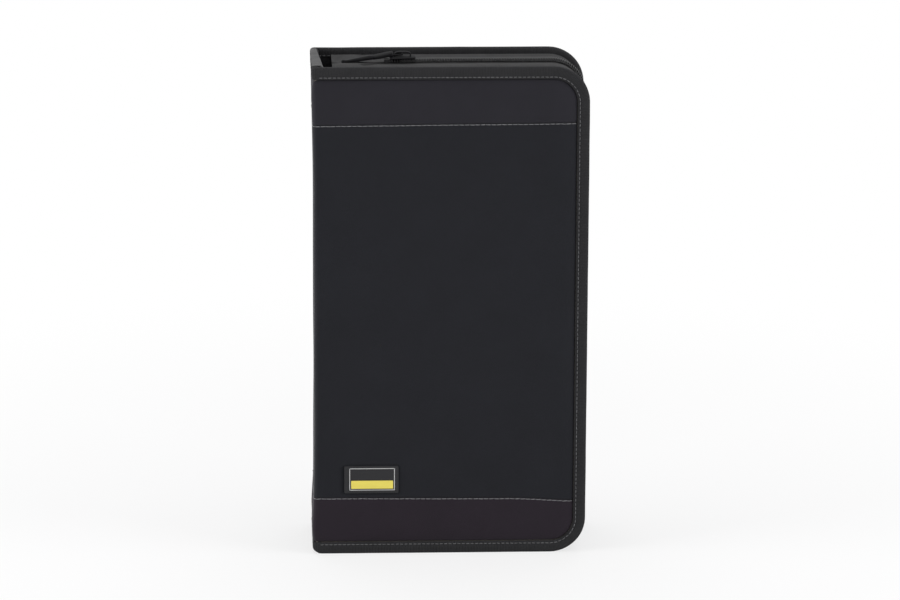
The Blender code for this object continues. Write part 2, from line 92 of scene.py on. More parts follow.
# The spine bows in along its middle and stands out again near its foot
BOW_DEPTH = 1.35 * MM
BOW_ENDS_OUT = 0.35 * MM
BOW_FOOT_OUT = 0.70 * MM
BOW_FOOT_HEIGHT = 16 * MM
BOW_FOOT_SPREAD = 13 * MM
BOW_REACH = 14 * MM

# Relief of the cloth
PUCKER = 0.30 * MM
DRAG = 0.22 * MM
SLOW_WAVE = 0.45 * MM
EDGE_ROLL_WIDTH = 9.0 * MM
EDGE_ROLL_DEPTH = 1.9 * MM
SEAM_ROLL_WIDTH = 1.7 * MM
SEAM_ROLL_DEPTH = 0.75 * MM
SEAM_HALF_GAP = 0.12 * MM
DENT_DEPTH = 0.75 * MM
DENT_REACH = 1.6 * MM

# Run of the cross seams
HIGH_LIFT = 1.4 * MM
HIGH_SLANT = 0.006
LOW_LIFT = 2.1 * MM
LOW_SLANT = 0.0058
LOW_DIP = 2.2 * MM
LOW_DIP_START = 34 * MM
LOW_DIP_REACH = 50 * MM

# The folded binding: places across the edge and depths below it
BINDING_DEEP = 5.2 * MM
BINDING_THICK = 0.5 * MM
BINDING_SECTION = [(across * MM, deep * MM) for across, deep in (
    (0.95, 7.1), (0.62, 6.75), (0.42, 6.2), (0.42, 5.75), (0.34, 5.4), (0.20, 4.8), (0.08, 4.0),
    (0.05, 3.0), (0.07, 2.0), (0.18, 1.2), (0.48, 0.50), (1.0, 0.12), (1.8, 0.0), (3.4, 0.0),
    (4.3, 0.15), (4.8, 0.6), (5.05, 1.3), (5.10, 2.4), (5.05, 3.4), (5.12, 4.4), (5.20, 5.0))]
SPINE_FOOT_ROUND = 4.4 * MM

# Thread
STITCH_PITCH = 2.6 * MM
STITCH_LENGTH = 1.85 * MM
THREAD = 0.24 * MM
STITCH_RADII = [THREAD * share for share in (0.6, 0.95, 1.0, 0.95, 0.6)]
STITCH_DEEP = 5.75 * MM
STITCH_PLACES = {"outside": (0.36 * MM, STITCH_DEEP), "inside": (5.12 * MM, 4.3 * MM)}
SEAM_PITCH = 3.1 * MM
SEAM_STITCH_DROP = 0.6 * MM
SEAM_STITCH_END = 0.4 * MM
ALONG_SPINE = np.array([0.0, 1.0, 0.0])
OUT_OF_SPINE = np.array([-1.0, 0.0, 0.0])

# The zip: its tapes' section as the binding's, and its coils
TAPE_SECTION = [(across * MM, deep * MM) for across, deep in (
    (6.1, 8.0), (5.9, 6.0), (5.85, 4.6), (6.05, 3.7), (6.7, 3.15), (8.5, 2.95), (10.5, 2.9),
    (12.5, 2.9), (14.5, 2.9), (16.5, 2.9), (18.5, 2.95), (20.5, 3.0), (22.5, 3.0), (24.6, 3.05),
    (26.4, 3.1), (28.0, 3.1), (29.1, 3.1))]
TAPE_THICK = 0.45 * MM
TAPE_EDGE = 6 * MM
TAPE_HELD = 24 * MM
TAPE_SWELL = {"front": 1.3 * MM, "back": -1.1 * MM}
TAPE_SWELL_ELSEWHERE = 0.45 * MM
TAPE_BEGIN = -68.0 * MM
ZIP_RISE = 0.2 * MM
ZIP_RISE_REACH = 12 * MM
TOOTH_PITCH = 1.5 * MM
TOOTH_WIRE = 0.31 * MM
TOOTH_LEAN = 0.14 * MM
TOOTH_OPEN_GAP = 0.75 * MM
TOOTH_MESH = 1.2 * MM

# The slider, and the pull's middle lines from its pivot in millimetres
SLIDER_PLATE = 1.0 * MM
SLIDER_PLAY = 0.55 * MM
SLIDER_CORNER = 2.2 * MM
POST_HALF = 0.45 * MM
BRIDGE_REACH = 4.55 * MM
BRIDGE_CLEAR = 0.95 * MM
BRIDGE_SUNK = 0.3 * MM
LINK_WIRE = 0.55 * MM
LINK_KNOTS = ((-7.0, -2.15, -0.45), (-4.0, -2.15, -0.2), (-1.2, -2.15, 0.0), (-0.15, -1.6, 0.0),
              (0.0, 0.0, 0.0), (-0.15, 1.6, 0.0), (-1.2, 2.15, 0.0), (-4.0, 2.15, -0.2),
              (-7.0, 2.15, -0.45))
GRIP_KNOTS = ((-5.4, 0.0, 0.1), (-8.0, 0.0, -0.2), (-12.0, -1.1, -0.8), (-15.5, -2.4, -1.15),
              (-18.8, -3.8, -1.4))
STRAP_KNOTS = ((-17.8, -3.3, -1.35), (-21.0, -4.9, -1.5), (-25.0, -6.6, -1.8),
               (-29.0, -7.6, -2.2), (-32.4, -8.3, -2.6), (-35.6, -8.9, -2.8))

# The sleeves
PAGES = 22
FILM_LOW_X, FILM_HIGH_X = 0.10, 0.965
FILM_SHARES = ((0.02, 0.49), (0.51, 0.98))
WELD = 0.4 * MM

# The photograph's view, fitted to the case's corners in it
CAMERA_PLACE = (-0.11, -2.6, 0.8447)
CAMERA_YAW = math.radians(2.4455)
CAMERA_PITCH = math.radians(15.0226)
CAMERA_ROLL = math.radians(0.2428)
CAMERA_LENS = 183.6

# Soft lamps: place, size in metres and power in watts
LAMP_TARGET = (0.0, 0.0, 0.14)
LAMPS = {
    "front_lamp": ((0.2, -1.3, 1.2), 1.2, 3),
    "left_lamp": ((-1.6, -0.4, 0.5), 1.0, 22),
    "right_lamp": ((1.6, -0.55, 0.5), 1.0, 22),
    "top_lamp": ((0.0, 0.3, 1.8), 1.2, 13),
}
FLOOR_HALF = 4.0


def add_node(tree, kind, inputs=None, **settings):
    """A shader node with its plain settings, and its inputs linked or given values."""
    made = tree.nodes.new(kind)
    for key, value in settings.items():
        setattr(made, key, value)
    for key, value in (inputs or {}).items():
        if isinstance(value, bpy.types.NodeSocket):
            tree.links.new(value, made.inputs[key])
        else:
            made.inputs[key].default_value = value
    return made


def math_node(tree, operation, *values):
    """The result of a Math node on sockets or numbers."""
    made = add_node(tree, "ShaderNodeMath", dict(enumerate(values)), operation=operation)
    return made.outputs[0]


def object_places(tree):
    """Places in the case's own metres."""
    return add_node(tree, "ShaderNodeTexCoord").outputs["Object"]


def wave(tree, place, pitch):
    """A sine along a place measured in metres."""
    return math_node(tree, "SINE", math_node(tree, "MULTIPLY", place, 2 * math.pi / pitch))


def flat_places(tree):
    """Two directions along the covers and the spine alike: round the case and up it."""
    parts = add_node(tree, "ShaderNodeSeparateXYZ", {0: object_places(tree)}).outputs
    return math_node(tree, "ADD", parts["X"], parts["Y"]), parts["Z"]


def tape_places(tree):
    """The two directions of a tape, stored on its points: along it and across it."""
    return tuple(add_node(tree, "ShaderNodeAttribute", attribute_name=name).outputs["Fac"]
                 for name in ("along", "across"))


def plain_weave(tree, places, pitch):
    """Threads over and under one another."""
    return math_node(tree, "MULTIPLY", wave(tree, places[0], pitch),
                     wave(tree, places[1], pitch))


def ribs(tree, places, pitch):
    """Ribs across a tape."""
    return wave(tree, places[0], pitch)


def herringbone(tree, places, pitch):
    """Slanted rows that turn back half way across each band."""
    folded = math_node(tree, "PINGPONG", places[1], pitch * 2.2)
    return wave(tree, math_node(tree, "ADD", places[0], folded), pitch)


def mottled(tree, colour, spread, size):
    """A colour that drifts a little, in cloudy patches of a size in metres."""
    clouds = add_node(tree, "ShaderNodeTexNoise", {
        "Vector": object_places(tree), "Scale": 1 / size, "Detail": 3.0, "Roughness": 0.6})
    ramp = add_node(tree, "ShaderNodeValToRGB", {"Fac": clouds.outputs["Fac"]})
    for element, factor, place in zip(ramp.color_ramp.elements, (1 - spread, 1 + spread),
                                      (0.3, 0.7)):
        element.position = place
        element.color = (*(channel * factor for channel in colour), 1.0)
    return ramp.outputs["Color"], clouds.outputs["Fac"]


def shaded(name, colour, roughness, pattern=None, places=flat_places, pitch=0.5 * MM,
           depth=0.04 * MM, strength=0.5, spread=0.08, patch=18 * MM, specular=0.15,
           sheen=0.0, coat=0.0, grain=0.0, grain_size=0.4 * MM):
    """A surface with drifting colour and roughness, and a relief of threads or grain."""
    material = bpy.data.materials.new(name)
    material.use_nodes = True
    tree = material.node_tree
    shader = tree.nodes["Principled BSDF"]
    shader.inputs["Specular IOR Level"].default_value = specular
    shader.inputs["Sheen Weight"].default_value = sheen
    shader.inputs["Sheen Roughness"].default_value = 0.5
    shader.inputs["Coat Weight"].default_value = coat
    tint, clouds = mottled(tree, colour, spread, patch)
    rough = math_node(tree, "ADD", math_node(tree, "MULTIPLY", clouds, 0.12), roughness - 0.06)
    tree.links.new(rough, shader.inputs["Roughness"])
    reliefs = []
    if pattern:
        threads = pattern(tree, places(tree), pitch)
        shade = math_node(tree, "ADD", math_node(tree, "MULTIPLY", threads, 0.10), 0.92)
        tint = add_node(tree, "ShaderNodeMix", {"A": tint, "B": shade, "Factor": 1.0},
                        data_type="RGBA", blend_type="MULTIPLY").outputs["Result"]
        reliefs.append(threads)
    if grain:
        specks = add_node(tree, "ShaderNodeTexNoise", {
            "Vector": object_places(tree), "Scale": 1 / grain_size, "Detail": 2.0})
        reliefs.append(math_node(tree, "MULTIPLY", specks.outputs["Fac"], grain))
    tree.links.new(tint, shader.inputs["Base Color"])
    height = reliefs[0] if len(reliefs) == 1 else math_node(tree, "ADD", *reliefs)
    bump = add_node(tree, "ShaderNodeBump",
                    {"Strength": strength, "Distance": depth, "Height": height})
    tree.links.new(bump.outputs["Normal"], shader.inputs["Normal"])
    return material


def cover_cloth(name, colour):
    """The covers' plain-woven nylon, with a faint sheen where it turns away."""
    return shaded(name, colour, 0.70, plain_weave, pitch=0.62 * MM, grain=0.6, specular=0.10,
                  sheen=0.09, patch=30 * MM)


def twisted_thread(name, colour):
    """Sewing thread with its twist as fine ribs."""
    return shaded(name, colour, 0.7, ribs, tape_places, pitch=0.5 * MM, spread=0.2, patch=3 * MM)


def moulded_rubber(name, colour, specular=0.3, spread=0.05):
    """The patch's soft moulding."""
    return shaded(name, colour, 0.5, grain=1.0, depth=0.03 * MM, specular=specular, spread=spread)


def make_materials():
    """Every finish of the case by name."""
    return {
        "centre_panel": cover_cloth("centre cloth", (0.0124, 0.0130, 0.0167)),
        # painted light: the top band is the same cloth as the centre panel, coloured lighter for
        # the light that falls near the top
        "top_band": cover_cloth("top band cloth painted lighter", (0.0183, 0.0175, 0.0226)),
        "bottom_band": cover_cloth("bottom band cloth", (0.0188, 0.0139, 0.0199)),
        "binding": shaded(
            "ribbed binding", (0.0260, 0.0260, 0.0275), 0.75, ribs, tape_places,
            pitch=0.90 * MM, depth=0.10 * MM, strength=0.7, grain=0.4, specular=0.08),
        "zip_tape": shaded(
            "zip tape", (0.050, 0.050, 0.051), 0.8, herringbone, tape_places,
            pitch=0.8 * MM, depth=0.08 * MM, grain=0.5, spread=0.15, patch=9 * MM),
        # painted highlight: the zip tape's own tail, coloured much lighter than the zip tape for
        # the light on the spine's top
        "painted_lit_tail": shaded(
            "folded tape tail painted lighter", (0.125, 0.125, 0.126), 0.8, ribs, tape_places,
            pitch=0.8 * MM, depth=0.08 * MM, grain=0.6, spread=0.15, patch=6 * MM),
        "coil": shaded(
            "nylon coil", (0.026, 0.026, 0.027), 0.45, grain=0.5, specular=0.25, spread=0.15,
            patch=4 * MM),
        "board": shaded(
            "stiffener board", (0.10, 0.09, 0.08), 0.85, grain=1.0, grain_size=1 * MM),
        "lining": shaded(
            "nylon lining", (0.018, 0.018, 0.020), 0.62, plain_weave, pitch=0.40 * MM,
            specular=0.25, grain=0.4),
        "sleeve": shaded(
            "sleeve cloth", (0.030, 0.030, 0.032), 0.85, grain=1.0, grain_size=0.25 * MM,
            depth=0.10 * MM),
        "film": shaded(
            "pocket film", (0.022, 0.022, 0.024), 0.16, grain=1.0, grain_size=6 * MM,
            depth=0.10 * MM, specular=0.5, coat=0.3),
        "slider_metal": shaded(
            "black painted metal", (0.007, 0.007, 0.008), 0.6, grain=1.0, grain_size=0.15 * MM,
            depth=0.02 * MM, specular=0.08),
        "strap": shaded(
            "woven strap", (0.008, 0.008, 0.009), 0.8, plain_weave, tape_places,
            pitch=0.7 * MM, depth=0.10 * MM, grain=0.5, specular=0.06),
        "thread": twisted_thread("grey thread", (0.125, 0.125, 0.130)),
        "seam_thread": twisted_thread("seam thread", (0.190, 0.190, 0.198)),
        "patch": moulded_rubber("moulded rubber", (0.012, 0.012, 0.014), 0.35, 0.08),
        "patch_line": moulded_rubber("pale rubber", (0.50, 0.50, 0.50)),
        "patch_bar": moulded_rubber("yellow rubber", (0.78, 0.66, 0.12)),
    }


def place_object(name, data):
    """A new object in the scene."""
    made = bpy.data.objects.new(name, data)
    bpy.context.scene.collection.objects.link(made)
    return made


def make_object(name, points, faces, material, along=None, across=None, angle=42):
    """A mesh with outward faces, smooth up to an angle, and its places along a tape."""
    mesh = bpy.data.meshes.new(name)
    mesh.from_pydata([tuple(point) for point in points], [], faces)
    tidy = bmesh.new()
    tidy.from_mesh(mesh)
    bmesh.ops.recalc_face_normals(tidy, faces=tidy.faces)
    tidy.to_mesh(mesh)
    tidy.free()
    mesh.materials.append(material)
    mesh.shade_smooth()
    mesh.set_sharp_from_angle(angle=math.radians(angle))
    for key, values in (("along", along), ("across", across)):
        if values is not None:
            stored = mesh.attributes.new(key, "FLOAT", "POINT")
            stored.data.foreach_set("value", np.asarray(values, np.float32).ravel())
    return place_object(name, mesh)


def ribbon(name, rows, material, along=None, across=None):
    """A closed sheet between two faces. A row holds an outer and an inner point by place."""
    rows = np.asarray(rows, float)
    height, width = rows.shape[:2]
    index = np.arange(height * width).reshape(height, width)
    quads = np.stack([index[:-1, :-1], index[:-1, 1:], index[1:, 1:], index[1:, :-1]], -1)
    quads = quads.reshape(-1, 4)
    under = quads[:, ::-1] + height * width
    rim = np.concatenate([index[0, :-1], index[:-1, -1], index[-1, :0:-1], index[:0:-1, 0]])
    after = np.roll(rim, -1)
    walls = np.stack([after, rim, rim + height * width, after + height * width], -1)
    faces = np.concatenate([quads, under, walls]).tolist()
    points = np.concatenate([rows[:, :, face].reshape(-1, 3) for face in (0, 1)])
    doubled = [None if values is None else np.concatenate([np.ravel(values)] * 2)
               for values in (along, across)]
    return make_object(name, points, faces, material, *doubled)


def directions(path):
    """Unit steps along a path at each of its points."""
    steps = np.gradient(path, axis=0)
    return steps / np.linalg.norm(steps, axis=1)[:, None]


def distances(path):
    """Distance gone along a path at each of its points."""
    return np.concatenate([[0.0], np.cumsum(np.linalg.norm(np.diff(path, axis=0), axis=1))])


def band_faces(rings, size):
    """Faces that close a body through rings of as many points each."""
    faces = [(here * size + turn, here * size + (turn + 1) % size,
              (here + 1) * size + (turn + 1) % size, (here + 1) * size + turn)
             for here in range(rings - 1) for turn in range(size)]
    return faces + [tuple(range(size)), tuple(range((rings - 1) * size, rings * size))]


def tubes(name, paths, radii, sides, material):
    """Round threads or wires along short paths, all in one mesh of closed bodies."""
    angles = [2 * math.pi * turn / sides for turn in range(sides)]
    points, faces, along = [], [], []
    for path in paths:
        path = np.asarray(path, float)
        steps = directions(path)
        guide = np.cross(steps[0], steps[len(steps) // 2])
        if np.linalg.norm(guide) < 0.2:
            guide = np.array([0.0, 1.0, 0.0]) if abs(steps[0][1]) < 0.8 else np.array([1.0, 0, 0])
        guide = guide / np.linalg.norm(guide)
        start = len(points)
        faces += [tuple(start + corner for corner in face)
                  for face in band_faces(len(path), sides)]
        for place, step, radius, gone in zip(path, steps, radii, distances(path)):
            side = np.cross(guide, step)
            side /= np.linalg.norm(side)
            other = np.cross(step, side)
            points += [place + radius * (math.cos(angle) * side + math.sin(angle) * other)
                       for angle in angles]
            along += [gone] * sides
    return make_object(name, points, faces, material, along, np.zeros(len(along)), 60)


def smooth_step(value):
    """Rises smoothly from 0 to 1."""
    value = min(max(value, 0.0), 1.0)
    return value * value * (3 - 2 * value)


def cloud(x, y, z, size, seed):
    """Smooth noise between about -1 and 1, with lumps of a size in metres."""
    return noise.noise(Vector((x / size + seed, y / size, z / size)))


def bow(z):
    """How far the spine's cloth stands in from its flat at a height."""
    middle = 1 - (2 * z / TOP - 1) ** 4
    foot = math.exp(-((z - BOW_FOOT_HEIGHT) / BOW_FOOT_SPREAD) ** 2)
    return BOW_DEPTH * middle - BOW_ENDS_OUT - BOW_FOOT_OUT * foot


def wrap(side, place, out, z):
    """A point of a cover's cloth. place is measured from the fold along the cover;
    below zero it runs round the fold and on across the spine. out is the height above
    the cloth's flat."""
    centre_x = LEFT + FOLD
    centre_y = FACE - FOLD
    inward = bow(z) * smooth_step(1 - place / BOW_REACH)
    if place >= 0:
        return (centre_x + place + inward, side * (FACE + out), z)
    turned = min(-place / FOLD_TURN, 1.0)
    if turned < 1.0:
        angle = -place / FOLD
        return (centre_x - math.sin(angle) * (FOLD + out) + inward,
                side * (centre_y + math.cos(angle) * (FOLD + out)), z)
    past = -place - FOLD_TURN
    return (LEFT - out + inward, side * (centre_y - past), z)


def roll_off(distance, width, depth):
    """How deep a padded edge has rolled at a distance inside it."""
    near = 1 - min(max(distance / width, 0.0), 1.0)
    return depth * (1 - math.sqrt(1 - near * near))


def window_distance(x, z):
    """Distance inside the edge that the binding covers, with two round far corners."""
    centre_x = SKIN_RIGHT - SKIN_RADIUS
    for centre_z, outside in ((SKIN_HIGH - SKIN_RADIUS, 1), (SKIN_LOW + SKIN_RADIUS, -1)):
        if x > centre_x and (z - centre_z) * outside > 0:
            return SKIN_RADIUS - math.hypot(x - centre_x, z - centre_z)
    return min(SKIN_RIGHT - x, SKIN_HIGH - z, z - SKIN_LOW)


def seam_heights(x):
    """Heights of the low and the high cross seam at a place across a cover.

    The low one was sewn a little off level and dips towards the far edge.
    """
    run = x - LEFT
    dip = LOW_DIP * smooth_step((x - LOW_DIP_START) / LOW_DIP_REACH)
    return (SEAM_LOW + LOW_LIFT - LOW_SLANT * run - dip,
            SEAM_HIGH + HIGH_LIFT + HIGH_SLANT * run)


def seam_gap(x, z):
    """Distance to the nearer cross seam."""
    return min(abs(z - seam) for seam in seam_heights(x))


def skin_height(side, x, y, z):
    """Height of the cloth above its flat: rolled edges, seam puckers and slow waves."""
    seam = seam_gap(x, z)
    pucker = PUCKER * cloud(x, y, z, 7 * MM, 3.1 * side) * math.exp(-seam / (5 * MM))
    drag = DRAG * cloud(x, y, z * 0.25, 11 * MM, 5.7 * side) * math.exp(-seam / (14 * MM))
    slow = SLOW_WAVE * cloud(x, y, z, 55 * MM, 9.3 * side)
    edge = window_distance(x, z)
    ease = min(max(edge / EDGE_ROLL_WIDTH, 0.0), 1.0)
    return ((pucker + drag + slow) * ease - roll_off(edge, EDGE_ROLL_WIDTH, EDGE_ROLL_DEPTH)
            - roll_off(seam, SEAM_ROLL_WIDTH, SEAM_ROLL_DEPTH) - patch_dent(side, x, z))


def patch_dent(side, x, z):
    """The cloth is pressed in under the patch on the front."""
    if side > 0:
        return 0.0
    low, high = PATCH
    outside = max(low.x - x, x - high.x, low.z - z, z - high.z)
    return DENT_DEPTH * smooth_step(1 - outside / DENT_REACH)


def spaced(low, high, count):
    """Values between two ends, closer together near both."""
    return [low + (high - low) * (1 - math.cos(math.pi * step / count)) / 2
            for step in range(count + 1)]


def skin_places():
    """Places across a cover, from its lap on the spine to the far edge."""
    flat_end = SKIN_RIGHT - SKIN_RADIUS - (LEFT + FOLD)
    fold = [-FOLD_TURN - LAP, -FOLD_TURN - LAP / 2]
    fold += [-FOLD_TURN * (1 - step / 8) for step in range(9)]
    flat = [flat_end * step / 56 for step in range(1, 56)]
    turn = [flat_end + SKIN_RADIUS * math.sin(math.radians(5 * step)) for step in range(19)]
    return fold + flat + turn


def skin_limits(part, x):
    """Lowest and highest point of a skin piece at one place across the cover."""
    over = min(max(x - (SKIN_RIGHT - SKIN_RADIUS), 0.0), SKIN_RADIUS)
    drop = SKIN_RADIUS - math.sqrt(max(SKIN_RADIUS * SKIN_RADIUS - over * over, 0.0))
    low, high = seam_heights(x)
    return {
        "top_band": (high + SEAM_HALF_GAP, SKIN_HIGH - drop),
        "centre_panel": (low + SEAM_HALF_GAP, high - SEAM_HALF_GAP),
        "bottom_band": (SKIN_LOW + drop, low - SEAM_HALF_GAP),
    }[part]


def skin_pair(side, place, x, z):
    """The outer and the inner point of a cover's cloth."""
    y = wrap(side, place, 0.0, z)[1]
    height = skin_height(side, x, y, z)
    return wrap(side, place, height, z), wrap(side, place, SKIN_UNDER - FACE, z)


def make_skins(label, materials):
    """The padded skins of one cover, each running on round the spine's long edge."""
    for part, count in PARTS.items():
        rows = []
        for place in skin_places():
            x = max(LEFT + FOLD + place, LEFT)
            heights = spaced(*skin_limits(part, x), count)
            rows.append([skin_pair(SIDES[label], place, x, z) for z in heights])
        skin = ribbon(f"{label}_{part}_cloth", rows, materials[part])
        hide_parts(f"{label}_{part}")
        hinge(skin)


def hinge(piece):
    """Bake a cloth piece's placement into its points; it is not bent."""
    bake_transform(piece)


def across_spine(count):
    """Even places across the spine, from its front lap to its back one."""
    return [-SPINE_HALF + 2 * SPINE_HALF * step / count for step in range(count + 1)]


def spine_pair(y, z):
    """The outer and the inner point of the spine's cloth."""
    blend = smooth_step((1 - abs(y) / SPINE_HALF) * 3)
    out = skin_height(-1 if y < 0 else 1, LEFT, y, z)
    soft = 0.10 * MM * cloud(LEFT, y, z, 40 * MM, 2.0) * blend
    return (LEFT - out - soft + bow(z), y, z), (SPINE_UNDER - 0.1 * MM, y, z)


def make_spine_skins(materials):
    """The spine's own cloth between the two covers' laps."""
    for part, count in PARTS.items():
        heights = spaced(*skin_limits(part, LEFT), count)
        rows = [[spine_pair(y, z) for z in heights] for y in across_spine(24)]
        skin = ribbon(f"spine_{part}_cloth", rows, materials[part])
        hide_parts(f"spine_{part}")
        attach(skin, "spine")


def rim_path(inset, start_x, step):
    """Stations along three sides of a cover, from the top by the spine to the bottom.

    Each station is x, z, the outward x and z, and the distance along the way. The lower
    half mirrors the upper one.
    """
    radius = CORNER - inset
    centre_x = RIGHT - CORNER
    run, turn, rise = centre_x - start_x, radius * math.pi / 2, TOP - 2 * CORNER
    total = 2 * run + 2 * turn + rise
    count = round(total / step)
    stations = []
    for number in range(count + 1):
        gone = total * number / count
        left = min(gone, total - gone)
        if left < run:
            x, z, out_x, out_z = start_x + left, TOP - inset, 0.0, 1.0
        elif left < run + turn:
            angle = math.pi / 2 - (left - run) / radius
            out_x, out_z = math.cos(angle), math.sin(angle)
            x, z = centre_x + radius * out_x, TOP - CORNER + radius * out_z
        else:
            x, z, out_x, out_z = RIGHT - inset, TOP - CORNER - (left - run - turn), 1.0, 0.0
        if gone > total / 2:
            z, out_z = TOP - z, -out_z
        stations.append((x, z, out_x, out_z, gone))
    return stations


def edge_stations(side, step, inset=0.0, lap=True, start_x=None):
    """Where a tape's section stands along a cover's edge: its outer and inner point,
    the outward direction and the distance along. With a lap the tape runs on round
    the fold at both ends."""
    start_x = LEFT + FOLD if start_x is None else start_x
    stations = []
    for x, z, out_x, out_z, gone in rim_path(inset, start_x, step):
        x += out_x * inset
        z += out_z * inset
        outer = np.array([x, side * FACE, z])
        inner = np.array([max(x, HINGE_INNER[0]), side * (FACE - BINDING_DEEP), z])
        stations.append((outer, inner, np.array([out_x, 0.0, out_z]), gone))
    if not lap:
        return stations
    before, after = [], []
    whole = stations[-1][3]
    for number in range(12):
        place = -(FOLD_TURN + LAP) * number / 11
        for ending, z, up in ((before, TOP, 1.0), (after, 0.0, -1.0)):
            outer = np.array(wrap(side, place, 0.0, z))
            inner = np.array([max(outer[0], HINGE_INNER[0]),
                              side * min(abs(outer[1]), HINGE_INNER[1]), z])
            gone = place if ending is before else whole - place
            ending.append((outer, inner, np.array([0.0, 0.0, up]), gone))
    return before[:0:-1] + stations + after[1:]


def in_section(station, across, deep):
    """A point of a section: across from the outer face inwards, deep below the edge."""
    outer, inner, up, _ = station
    return outer + (inner - outer) * (across / BINDING_DEEP) - up * deep


def offset_line(section, thickness):
    """A line beside another, on its right."""
    steps = directions(np.asarray(section, float))
    return section + np.stack([steps[:, 1], -steps[:, 0]], -1) * thickness


def sweep(name, stations, section, thickness, material, change):
    """A thin tape of one section, swept along stations and changed at each point."""
    under = offset_line(section, thickness)
    across = distances(np.asarray(section))
    rows = []
    for station in stations:
        row = []
        for faces in zip(section, under):
            shift = change(station, faces[0])
            row.append([in_section(station, *np.add(point, shift)) for point in faces])
        rows.append(row)
    along = np.array([[station[3]] * len(section) for station in stations])
    return ribbon(name, rows, material, along, np.array([across] * len(stations)))


def binding_change(station, point):
    """Slow unevenness of the folded tape, and the rounder corners at the spine's foot."""
    x, y, z = station[0]
    across = 0.10 * MM * cloud(x, y, z, 9 * MM, 1.0 + point[1] * 40)
    deep = 0.08 * MM * cloud(x, y, z, 14 * MM, 4.0)
    if station[2][2] < -0.9:
        deep = abs(deep)
        radius = SPINE_FOOT_ROUND * smooth_step((LEFT + 2 * FOLD - x) / (2 * FOLD))
        out_a, out_d = max(radius - point[0], 0.0), max(radius - point[1], 0.0)
        reach = math.hypot(out_a, out_d)
        if reach > radius > 0:
            across += out_a * (1 - radius / reach)
            deep += out_d * (1 - radius / reach)
    return across, deep


def sew(name, places, material, length=STITCH_LENGTH):
    """A row of short raised stitches. Each place is a point, a direction and a normal."""
    paths = []
    for number, (point, direction, normal) in enumerate(places):
        skew = 0.06 * MM * math.sin(number * 2.3)
        sideways = np.cross(direction, normal)
        paths.append([point + direction * length * share + normal * rise * MM
                      + sideways * skew * turn
                      for share, rise, turn in ((-0.5, -0.22, -1), (-0.38, 0.05, -1),
                                                (0.0, 0.13, 0), (0.38, 0.05, 1),
                                                (0.5, -0.22, 1))])
    return tubes(name, paths, STITCH_RADII, 6, material)


def edge_stitches(label, material):
    """The row of stitches through a cover's binding, outside and inside."""
    stations = edge_stations(SIDES[label], STITCH_PITCH, inset=STITCH_DEEP, lap=False)
    for face, (across, deep) in STITCH_PLACES.items():
        outward = 1 if face == "outside" else -1
        places = []
        for before, station, after in zip(stations, stations[1:], stations[2:]):
            direction = in_section(after, across, deep) - in_section(before, across, deep)
            direction /= np.linalg.norm(direction)
            normal = (station[0] - station[1]) * outward
            normal /= np.linalg.norm(normal)
            places.append((in_section(station, across, deep), direction, normal))
        hinge(sew(f"{label}_binding_stitches_{face}", places, material))


def make_binding(label, materials):
    """The ribbed tape folded over a cover's edge."""
    side = SIDES[label]
    tape = sweep(f"{label}_binding_tape", edge_stations(side, 2.4 * MM), BINDING_SECTION,
                 -BINDING_THICK, materials["binding"], binding_change)
    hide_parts(f"{label}_binding")
    hinge(tape)
    edge_stitches(label, materials["thread"])


def seam_stitches(label, material):
    """The topstitching along a cover's two cross seams, just below each seam."""
    side = SIDES[label]
    first = -FOLD_TURN - LAP
    span = SKIN_RIGHT - SEAM_STITCH_END - (LEFT + FOLD) - first
    count = round(span / SEAM_PITCH)
    pitch = span / count

    def on_cloth(place, z):
        x, y, _ = wrap(side, place, 0.0, z)
        return np.array(wrap(side, place, skin_height(side, x, y, z), z))

    places = []
    for seam in (0, 1):
        for number in range(count):
            place = first + pitch * (number + 0.5)
            z = seam_heights(max(LEFT + FOLD + place, LEFT))[seam] - SEAM_STITCH_DROP
            near = on_cloth(place - 0.2 * MM, z)
            far = on_cloth(place + 0.2 * MM, z)
            direction = (far - near) / np.linalg.norm(far - near)
            normal = np.cross(direction, (0.0, 0.0, 1.0)) * -side
            places.append(((near + far) / 2, direction, normal))
    hinge(sew(f"{label}_seam_stitches", places, material, pitch * 0.93))


def spine_stitch_places(pitch):
    """Places of a row of stitches across the spine."""
    count = int(2 * SPINE_HALF / pitch) + 1
    return [-SPINE_HALF + 2 * SPINE_HALF * (number + 0.5) / count for number in range(count)]


def spine_stitches(material):
    """The cross seams' topstitching where it passes over the spine."""
    places = []
    for seam in seam_heights(LEFT):
        z = seam - SEAM_STITCH_DROP
        for y in spine_stitch_places(SEAM_PITCH):
            out = skin_height(-1 if y < 0 else 1, LEFT, y, z)
            places.append((np.array([LEFT - out + bow(z), y, z]), ALONG_SPINE, OUT_OF_SPINE))
    row = sew("spine_seam_stitches", places, material, SEAM_PITCH * 0.9)
    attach(row, "spine")


def spine_station(y, z, up):
    """Where the binding's section stands at a place across the spine's end."""
    outer = np.array([LEFT + bow(z), y, z])
    inner = np.array([HINGE_INNER[0], y, z])
    return outer, inner, np.array([0.0, 0.0, up]), y


def make_spine_bindings(materials):
    """The binding over the spine's two short ends."""
    for label, z, up in (("top", TOP, 1.0), ("bottom", 0.0, -1.0)):
        stations = [spine_station(y, z, up) for y in across_spine(24)]
        tape = sweep(f"spine_{label}_binding_tape", stations, BINDING_SECTION, -BINDING_THICK,
                     materials["binding"], binding_change)
        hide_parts(f"spine_{label}_binding")
        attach(tape, "spine")
        places = [(in_section(spine_station(y, z, up), *STITCH_PLACES["outside"]),
                   ALONG_SPINE, OUT_OF_SPINE) for y in spine_stitch_places(STITCH_PITCH)]
        row = sew(f"spine_{label}_stitches", places, materials["thread"])
        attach(row, "spine")


def zip_rise(x, z):
    """How far the closed zip stands up, beyond the slider's rest place."""
    if z < TOP / 2:
        return ZIP_RISE
    return ZIP_RISE * smooth_step((x - SLIDER_TAIL) / ZIP_RISE_REACH)


